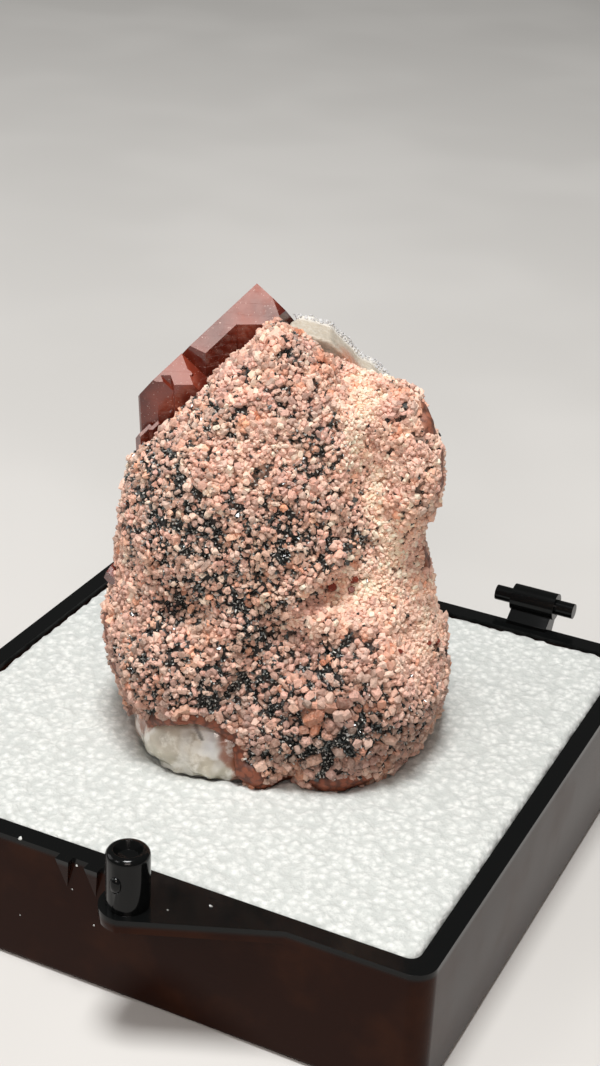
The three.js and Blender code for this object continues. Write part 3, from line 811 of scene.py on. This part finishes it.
def grain_mesh(rng, shapes, spots, sizes, tints):
    """One mesh of many grains: places in metres, three sizes each in millimetres, a colour each."""
    turns = random_turns(rng, len(spots))
    kinds = rng.integers(len(shapes), size=len(spots))
    points, faces, colours, owners = [], [], [], []
    start = 0
    for kind, (corners, triangles) in enumerate(shapes):
        mine = np.flatnonzero(kinds == kind)
        if not len(mine):
            continue
        scaled = corners[None] * (sizes[mine, None, :] * MM)
        placed = np.einsum("nij,nkj->nki", turns[mine], scaled) + spots[mine, None, :]
        points.append(placed.reshape(-1, 3))
        steps = start + np.arange(len(mine))[:, None, None] * len(corners)
        faces.append((triangles[None] + steps).reshape(-1, 3))
        colours.append(np.repeat(tints[mine], len(corners), axis=0))
        owners.append(np.repeat(mine, len(triangles)))
        start += len(mine) * len(corners)
    points, faces = np.concatenate(points), np.concatenate(faces)
    mesh = bpy.data.meshes.new("grains")
    mesh.vertices.add(len(points))
    mesh.loops.add(faces.size)
    mesh.polygons.add(len(faces))
    mesh.vertices.foreach_set("co", points.ravel().astype(np.float32))
    mesh.loops.foreach_set("vertex_index", faces.ravel())
    mesh.polygons.foreach_set("loop_start", np.arange(len(faces)) * 3)
    mesh.update()
    write_tint(mesh, np.concatenate(colours))
    lay_in_cells(mesh, np.concatenate(owners), len(spots))
    flat(mesh)
    return mesh


def lay_in_cells(mesh, owners, count):
    """Gives each grain one small cell of the map that its colours are kept in."""
    side = math.ceil(math.sqrt(count))
    cell = np.stack([owners % side, owners // side], axis=1)
    corner = np.array([(0.2, 0.2), (0.8, 0.2), (0.5, 0.8)])
    spread = (cell[:, None, :] + corner[None]) / side
    layer = mesh.uv_layers.new(name="OFBake")
    layer.data.foreach_set("uv", spread.ravel().astype(np.float32))


def blend_colours(codes, weights):
    """Mixes colours by weights that are given for each place."""
    colours = np.array([rgb(code)[:3] for code in codes])
    weights = np.stack(weights, axis=1)
    return (weights / weights.sum(axis=1, keepdims=True)) @ colours


# The crust


def crust_zones(places):
    """Shares of dark, pale, red, coarse and bare crust at each place, with ragged borders."""
    ragged = places.copy()
    ragged[:, 0] += ZONE_WANDER * noise_at(places, size=2.2, shift=11.0)
    ragged[:, 2] += ZONE_WANDER * noise_at(places, size=2.2, shift=17.0)
    pale = zone_share(ragged, PALE_ZONES)
    dark = zone_share(ragged, DARK_ZONES) * (1 - pale)
    red = zone_share(ragged, RED_ZONES)
    coarse = zone_share(ragged, COARSE_ZONES)
    rim = np.clip((WINDOW_RIM - window_reach(places)) / WINDOW_RIM_FADE, 0, 1)
    ragged_edge = places + EDGE_WANDER * noise_at(places, size=1.1, shift=51.0)[:, None]
    bare = np.maximum(ball_share(ragged_edge, BARE_EDGES), rim)
    return dark, pale, red, coarse, bare


def crust_forms(places):
    """Height of the ridges, hollows and rough parts of the front, in millimetres."""
    height = ROUGH_RISE * zone_share(places, ROUGH_ZONES) * noise_at(places, size=1.5, shift=71.0)
    for rise, width, points in FORM_LINES:
        height += rise * np.exp(-((line_distance(places, points) / (FORM_SPREAD * width)) ** 2))
    return height


def crust_relief(places, coarse):
    """Height of the crust's knobs, which falls in the gaps between them."""
    warp = np.stack([noise_at(places, size=0.8, shift=shift) for shift in (31.0, 37.0, 41.0)], axis=1)
    spacing = KNOB_SPACING + COARSE_SPACING * coarse
    relief = np.empty(len(places))
    for n, (place, size) in enumerate(zip(places + KNOB_WARP * warp, spacing)):
        nearest, _ = noise.voronoi(Vector(place) / size)
        relief[n] = -KNOB_FALL * nearest[0]
    swell = noise_at(places, size=2.6, shift=21.0)
    return relief + KNOB_ROUGHNESS * warp[:, 0] + KNOB_SWELL * swell


def even_relief(relief, levels):
    """The share of the whole crust that lies lower, from 0 to 1."""
    return np.interp(relief, levels, np.linspace(0, 1, len(levels)))


def gap_share(dark, pale, coarse):
    """How much of the crust is left open to the dark ground."""
    return GAPS + DARK_GAPS * dark + COARSE_GAPS * coarse * (1 - pale) - GAPS * pale


def crust_ground():
    """The surface between the grains, a little inside the CAD crust, and its levels of relief."""
    mesh = fine_copy("crust", CRUST_VOXEL)
    points = read_points(mesh)
    outward = read_points(mesh, "normal")
    places = to_specimen(points)
    dark, pale, red, coarse, bare = crust_zones(places)
    relief = crust_relief(places, coarse)
    levels = np.quantile(relief, np.linspace(0, 1, RELIEF_LEVELS))
    height = even_relief(relief, levels)
    rise = (KNOB_RISE + COARSE_KNOB_RISE * coarse) * (1 - PALE_KNOB_LOSS * pale)
    inset = GROUND_INSET - PALE_INSET_LOSS * pale
    lump_rise = LUMP_RISE + COARSE_LUMP_RISE * coarse
    lumps = lump_rise * noise_at(places, size=2.3, shift=61.0) * (1 - PALE_LUMP_LOSS * pale)
    grown = (rise * np.sqrt(height) + lumps - inset) * (1 - bare)
    offset = grown + BARE_RISE * bare + crust_forms(places)
    points += outward * (offset * MM)[:, None]
    write_points(mesh, points)

    # The ground is dark in the gaps between the knobs: partly the crust's dark matrix showing there,
    # partly painted shade in the hollows
    gap = np.clip((gap_share(dark, pale, coarse) + GAP_EDGE - height) / GAP_EDGE, 0, 1) * (1 - bare)
    murk = np.maximum(gap, np.clip(1.3 * dark - 0.2, 0, 1) * (1 - bare))
    slate = np.clip(noise_at(places, size=0.6, shift=81.0) * 2, 0, 1)
    tint = blend_colours(
        ["0a0b0b", "3a423f", "23140f", "a8745d", "dcb299", "8f4a2e"],
        [
            murk * (1.0 + 8.0 * dark),
            murk * 4.0 * dark * slate,
            gap * 4.0 * (1 - 0.8 * pale),
            1 - murk,
            5.0 * pale,
            14.0 * bare,
        ],
    )
    write_tint(mesh, tint)
    smooth(mesh)
    piece("crust_ground", mesh, ground_paint(), "crust")
    return mesh, levels


def open_places(spots, outward, neighbours):
    """Which spots aren't covered by the foam or by a neighbour close in front of them."""
    shown = spots[:, 2] > (FOAM_TOP - FOAM_COVER) * MM
    for n in np.flatnonzero(shown):
        start = Vector(spots[n]) - Vector(outward[n]) * 0.2 * MM
        for tree in neighbours:
            if tree.ray_cast(start, Vector(outward[n]), HIDDEN_REACH * MM)[0] is not None:
                shown[n] = False
                break
    return shown


def lay_grains(name, rng, shapes, choice, sizes, lift, tints, material):
    """Makes grains at the chosen spots, as one piece for each part of the crust."""
    centres = choice["spots"] + choice["outward"] * (lift * MM)[:, None]
    x, y = choice["places"][:, 0], choice["places"][:, 1]
    parts = {
        "left": (y < 0) & (x < LEFT_X),
        "middle": (y < 0) & (x >= LEFT_X) & (x < RIGHT_X),
        "right": (y < 0) & (x >= RIGHT_X),
        "back": y >= 0,
    }
    for side, mine in parts.items():
        mesh = grain_mesh(rng, shapes, centres[mine], sizes[mine], tints[mine])
        piece(f"{name}_{side}", mesh, material)


def crust_grains(ground, levels):
    """Coarse grains, fine grains, dark flakes and pale glints over the whole crust."""
    rng = np.random.default_rng(SEED)
    grains = grain_paint()
    neighbours = []
    for node in ("quartz_crystals", "pale_quartz", "milky_quartz"):
        build = bmesh.new()
        build.from_mesh(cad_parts[node].data)
        neighbours.append(BVHTree.FromBMesh(build))
        build.free()

    spots, outward = random_points(rng, ground, GRAIN_PLACES)
    shown = open_places(spots, outward, neighbours)
    spots, outward = spots[shown], outward[shown]
    places = to_specimen(spots)
    dark, pale, red, coarse, bare = crust_zones(places)
    height = even_relief(crust_relief(places, coarse), levels)
    above = np.clip((height - gap_share(dark, pale, coarse)) / 0.08, 0, 1)
    hue = noise_at(places, size=1.9, shift=9.0) + 0.35 * noise_at(places, size=0.7, shift=14.0)
    shade = noise_at(places, size=1.2, shift=25.0)
    patch = np.clip(0.75 + noise_at(places, size=1.5, shift=33.0), 0.15, 1)
    lonely = dark * patch

    def choose(share, gaps):
        """Spots kept with the given shares, apart by the given gaps, and what is known there."""
        kept = np.flatnonzero(rng.random(len(spots)) < share * (1 - np.clip(1.5 * bare, 0, 1)))
        kept = kept[spaced(places[kept], gaps[kept])]
        return kept, {"spots": spots[kept], "outward": outward[kept], "places": places[kept]}

    def grain_colours(kept, codes):
        """Salmon to near-white, with orange and rust where the crust is red or by chance."""
        chance = rng.normal(0, 0.4, len(kept))
        hot = np.clip(1.6 * hue[kept] - 0.8 + 0.8 * red[kept] + 0.4 * coarse[kept] + chance, 0, 1)
        # Grains are whiter at random, and more so where the crust is dark; that extra whiteness is
        # painted highlights on the grains there
        white = np.clip(shade[kept] + 0.3 * dark[kept] + rng.normal(0, 0.55, len(kept)), -0.4, 2)
        white -= 0.5 * coarse[kept]
        tints = blend_colours(
            codes,
            [
                np.full(len(kept), 1.0),
                np.clip(0.6 + 1.6 * pale[kept] + 1.6 * white, 0.1, 4),
                np.clip(1.3 * pale[kept] + 1.6 * white, 0, 4),
                2.8 * hot,
                4.0 * np.clip(hot - 0.45, 0, 1),
                np.clip(0.7 - 1.6 * hue[kept], 0, 3),
            ],
        )
        weight = rng.uniform(GRAIN_TOP - GRAIN_SPREAD * (1 - 0.6 * pale[kept]), GRAIN_TOP)
        weight *= 1.1 - 0.02 * dark[kept] + 0.14 * pale[kept] - 0.3 * coarse[kept]
        weight *= np.interp(places[kept, 2], SHADE_HEIGHTS, SHADE_FACTORS)
        pepper = np.clip(0.1 + 0.55 * dark[kept] * rng.uniform(0.2, 1.3, len(kept)) - pale[kept], 0, 0.8)
        return np.column_stack([np.clip(tints * weight[:, None], 0, BRIGHTEST_GRAIN), pepper])

    # Coarse grains grow together on the knobs, and stand apart where the crust is dark
    large = np.clip(COARSE_SIZE + 0.07 * hue + 0.3 * coarse - 0.15 * pale, *COARSE_LIMITS)
    kept, choice = choose(above * (1 - 0.6 * pale), large * (0.68 + 0.85 * lonely))
    sizes = large[kept, None] * np.exp(rng.normal(0, COARSE_UNEVENNESS, (len(kept), 3)))
    lift = rng.uniform(*COARSE_LIFT, len(kept)) * (1 - 0.6 * pale[kept])
    tints = grain_colours(kept, COARSE_TINTS)
    lay_grains("coarse_grains", rng, chunk_shapes(rng, 16), choice, sizes, lift, tints, grains)

    # Fine grains fill the spaces between them, and lie like sand where the crust is pale
    small = np.clip(FINE_SIZE + 0.03 * hue - 0.06 * pale + 0.06 * coarse, *FINE_LIMITS)
    kept, choice = choose(above * (0.75 - 0.68 * lonely + 0.25 * pale), small * (0.85 + 0.6 * lonely))
    sizes = small[kept, None] * np.exp(rng.normal(0, FINE_UNEVENNESS, (len(kept), 3)))
    lift = rng.uniform(*FINE_LIFT, len(kept))
    tints = grain_colours(kept, FINE_TINTS)
    lay_grains("fine_grains", rng, chip_shapes(rng, 16), choice, sizes, lift, tints, grains)

    # Dark flakes lie in the gaps, and then pale glints like splinters among them
    share = (0.1 + 1.2 * dark) * (1 - pale) * (1.15 - above)
    kept, choice = choose(share, np.full(len(spots), FLAKE_GAP))
    sizes = rng.uniform(*FLAKE_SIZES, (len(kept), 1)) * rng.uniform(0.5, 1.1, (len(kept), 3))
    sizes[:, 2] *= FLAKE_FLATNESS
    lift = rng.uniform(*FLAKE_LIFT, len(kept))
    tints = np.full((len(kept), 4), 0.02)
    lay_grains("dark_flakes", rng, chip_shapes(rng, 10), choice, sizes, lift, tints, flake_paint())

    kept, choice = choose(0.6 * dark * (1.2 - above), np.full(len(spots), GLINT_GAP))
    sizes = rng.uniform(*GLINT_SIZES, (len(kept), 3))
    sizes[:, 2] *= rng.uniform(*GLINT_STRETCH, len(kept))
    lift = rng.uniform(*GLINT_LIFT, len(kept))
    tints = np.array(rgb("d2d4ce")) * rng.uniform(0.3, 1.1, (len(kept), 1)) * (1, 1, 1, 0)
    lay_grains("pale_glints", rng, chip_shapes(rng, 6), choice, sizes, lift, tints, grains)


def small_crystals(ground):
    """Dark red crystals of up to a millimetre, standing on the front of the crust."""
    turn = Matrix.Rotation(SPECIMEN_TURN, 3, "Z")
    build = bmesh.new()
    tree = BVHTree.FromPolygons(
        [vert.co for vert in ground.vertices], [face.vertices for face in ground.polygons]
    )
    for n, (x, z, size) in enumerate(SMALL_CRYSTALS):
        start = Vector(from_specimen((x, -30, z))[0])
        spot, outward, _, _ = tree.ray_cast(start, turn @ Vector((0, 1, 0)))
        lean = (outward + Vector((0.3 * math.sin(n), 0, 0.5))).normalized()
        tilt = lean.to_track_quat("Z", "Y").to_matrix().to_4x4()
        place = Matrix.Translation(spot + 0.1 * MM * lean) @ tilt
        made = bmesh.ops.create_cone(
            build,
            cap_ends=True,
            segments=6,
            radius1=0.5 * size * MM,
            radius2=0.42 * size * MM,
            depth=size * MM,
            matrix=place,
        )
        rim = [edge for edge in build.edges if all(vert in made["verts"] for vert in edge.verts)]
        bmesh.ops.bevel(
            build, geom=rim, offset=0.07 * MM, segments=1, profile=0.5, affect="EDGES", material=-1
        )
    mesh = bpy.data.meshes.new("small_crystals")
    build.to_mesh(mesh)
    build.free()
    flat(mesh)
    piece("small_crystals", mesh, crystal_paint())


# The other parts of the specimen


def crystals():
    mesh = eased_copy("quartz_crystals", flatness=0.6, width=0.05, segments=1, sharpness=20)
    flat(mesh)
    piece("red_crystals", mesh, crystal_paint(), "quartz_crystals")


def pale_slab():
    """The sugary slab: a smooth face with a bright knobbly rim and one orange spot."""
    rng = np.random.default_rng(SEED + 1)
    mesh = fine_copy("pale_quartz", SLAB_VOXEL)
    points = read_points(mesh)
    outward = read_points(mesh, "normal")
    places = to_specimen(points)
    rim = np.clip((outward[:, 2] - 0.1) / 0.4, 0, 1) * np.clip((places[:, 1] - SLAB_RIM_Y) / 0.6, 0, 1)
    knobs = 0.22 * noise_at(places, size=0.9, shift=3.0)
    knobs += 0.12 * noise_at(places, size=0.4, shift=5.0)
    lumps = 0.12 * noise_at(places, size=1.6) + rim * (knobs + 0.12) - 0.08
    write_points(mesh, points + outward * (lumps * MM)[:, None])
    spot = np.exp(-((places - SLAB_SPOT) ** 2).sum(axis=1))
    streaks = np.clip(0.5 + noise_at(places * (1.0, 1.0, 0.25), size=0.5, shift=7.0), 0, 1)
    tint = blend_colours(
        ["b5aa98", "cdc2b0", "eceae3", "b8663c"],
        [np.full(len(places), 1.0), 1.2 * streaks, 5.0 * rim, 8.0 * spot],
    )
    write_tint(mesh, tint)
    smooth(mesh)
    paint = sugar_paint()
    piece("pale_slab", mesh, paint, "pale_quartz")

    spots, outward = random_points(rng, mesh, SUGAR_PLACES)
    places = to_specimen(spots)
    far = (outward[:, 2] > 0.15) & (places[:, 1] > SLAB_RIM_Y + 0.3)
    spots, places = spots[far], places[far]
    chosen = spaced(places, np.full(len(spots), SUGAR_GAP))
    sizes = rng.uniform(0.16, 0.32, (len(chosen), 1)) * rng.uniform(0.6, 1.1, (len(chosen), 3))
    tints = np.full((len(chosen), 4), SUGAR_TINT)
    mesh = grain_mesh(rng, chip_shapes(rng, 8), spots[chosen], sizes, tints)
    piece("slab_sugar", mesh, paint)


def milky_foot():
    """Milky quartz that shows at the foot, stained red-brown round its rim."""
    mesh = fine_copy("milky_quartz", MILKY_VOXEL)
    points = read_points(mesh)
    places = to_specimen(points)
    chips = noise_at(places, size=2.6) * 0.3 + noise_at(places, size=0.9, shift=4.0) * 0.05 - 0.15
    low = np.clip((1.6 - places[:, 2]) / 1.5, 0, 1)
    chips += 0.35 * low * noise_at(places, size=1.1, shift=8.0)
    write_points(mesh, points + read_points(mesh, "normal") * (chips * MM)[:, None])

    wander = places + 0.35 * noise_at(places, size=0.8, shift=12.0)[:, None]
    rim = window_reach(wander)
    stain = np.clip((rim - 0.93) / 0.1, 0, 1)
    stain = np.maximum(stain, 0.9 * stroke_share(wander, WINDOW_WEDGE, width=1.3))
    oval = stroke_share(wander, WINDOW_OVAL, width=1.9)
    crack = stroke_share(places, WINDOW_CRACK, width=0.28)
    shade = np.clip((wander[:, 2] - 5.3) / 1.2, 0, 1)
    grey = np.clip((2.4 - wander[:, 2]) / 2.5, 0, 1)
    veil = np.clip(2.2 * noise_at(places, size=1.7, shift=91.0) - 0.2, 0, 1)
    murk = np.clip(2.0 * noise_at(places, size=1.5, shift=95.0), 0, 1)
    tint = blend_colours(
        ["d6cdbd", "a05a3a", "fdfcf8", "5c564c", "8d7a68", "b9b8a4", "fdfcf8", "8f8474"],
        [
            np.full(len(places), 1.0),
            9 * stain,
            9 * oval * (1 - stain),
            12 * crack,
            2.5 * shade,
            1.2 * grey,
            1.5 * veil * (1 - stain),
            0.9 * murk * (1 - stain),
        ],
    )
    write_tint(mesh, tint)
    smooth(mesh)
    piece("milky_foot", mesh, milky_paint(), "milky_quartz")


# Foam and box


def foam():
    """The foam with its crumbly top, and the walls of its pit drawn in towards the specimen."""
    mesh = fine_copy("foam_pad", FOAM_VOXEL)
    points = read_points(mesh)
    places = points / MM
    outward = read_points(mesh, "normal")
    crumb = noise_at(places, size=1.3) * 0.2 + noise_at(places, size=0.55, shift=7.0) * 0.16
    top = np.clip((places[:, 2] - FOAM_CRUMB_Z) / 0.8, 0, 1)
    wall = np.abs(places[:, :2]).max(axis=1) < PIT_REACH
    close = PIT_CLOSING * wall * np.clip(1 - np.abs(outward[:, 2]), 0, 1)
    write_points(mesh, points + outward * ((crumb * top + close) * MM)[:, None])
    smooth(mesh)
    piece("foam", mesh, foam_paint(), "foam_pad")


def box():
    mesh = eased_copy("box_base", flatness=1, width=0.16, segments=2, sharpness=40)
    smooth(mesh)
    mesh = with_modifier(mesh, "WEIGHTED_NORMAL", keep_sharp=False, weight=50)
    piece("black_box", mesh, plastic_paint(), "box_base")


def crumbs():
    """Crumbs of foam that have fallen on the box's front."""
    rng = np.random.default_rng(SEED + 2)
    build = bmesh.new()
    for *place, size in CRUMBS:
        made = bmesh.ops.create_icosphere(
            build, subdivisions=1, radius=0.5 * size * MM, matrix=Matrix.Translation(Vector(place) * MM)
        )
        for vert in made["verts"]:
            vert.co += Vector(rng.normal(0, 0.12 * size, 3)) * MM
    mesh = bpy.data.meshes.new("foam_crumbs")
    build.to_mesh(mesh)
    build.free()
    flat(mesh)
    piece("foam_crumbs", mesh, foam_paint())


# Stage, light and camera


def stage():
    build = bmesh.new()
    bmesh.ops.create_grid(build, x_segments=1, y_segments=1, size=2.0)
    mesh = bpy.data.meshes.new("floor")
    build.to_mesh(mesh)
    build.free()
    floor = bpy.data.objects.new("floor", mesh)
    mesh.materials.append(floor_paint())
    bpy.context.scene.collection.objects.link(floor)


def lights():
    for name, (way, size, power, colour) in LIGHTS.items():
        light = bpy.data.lights.new(name, "AREA")
        light.shape = "SQUARE"
        light.size = size
        light.energy = power
        light.color = colour
        lamp = bpy.data.objects.new(name, light)
        bpy.context.scene.collection.objects.link(lamp)
        lamp.location = AIM + way
        lamp.rotation_euler = (AIM - lamp.location).to_track_quat("-Z", "Y").to_euler()
    world = bpy.data.worlds.new("studio")
    world.use_nodes = True
    world.node_tree.nodes["Background"].inputs["Color"].default_value = ROOM_LIGHT
    world.node_tree.nodes["Background"].inputs["Strength"].default_value = ROOM_STRENGTH
    bpy.context.scene.world = world
    bpy.context.scene.view_settings.view_transform = "Standard"


def camera():
    data = bpy.data.cameras.new("photo view")
    data.sensor_fit = "VERTICAL"
    data.sensor_height = SENSOR_HEIGHT
    data.lens = SENSOR_HEIGHT * FOCAL_PIXELS / PHOTO_HEIGHT
    data.clip_start = 0.01
    view = bpy.data.objects.new("photo view", data)
    bpy.context.scene.collection.objects.link(view)
    turn = Matrix([CAMERA_RIGHT, -CAMERA_DOWN, -CAMERA_AHEAD]).transposed().to_4x4()
    view.matrix_world = Matrix.Translation(CAMERA_PLACE) @ turn
    bpy.context.scene.camera = view


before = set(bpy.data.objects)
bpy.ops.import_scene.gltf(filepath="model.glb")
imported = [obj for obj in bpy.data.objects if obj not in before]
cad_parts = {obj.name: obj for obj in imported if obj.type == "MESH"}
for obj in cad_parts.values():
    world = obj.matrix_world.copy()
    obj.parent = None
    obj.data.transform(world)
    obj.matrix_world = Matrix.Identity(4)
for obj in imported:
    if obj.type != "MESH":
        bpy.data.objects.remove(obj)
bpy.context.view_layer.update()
ground, relief_levels = crust_ground()
crust_grains(ground, relief_levels)
small_crystals(ground)
crystals()
pale_slab()
milky_foot()
foam()
box()
crumbs()
stage()
lights()
camera()
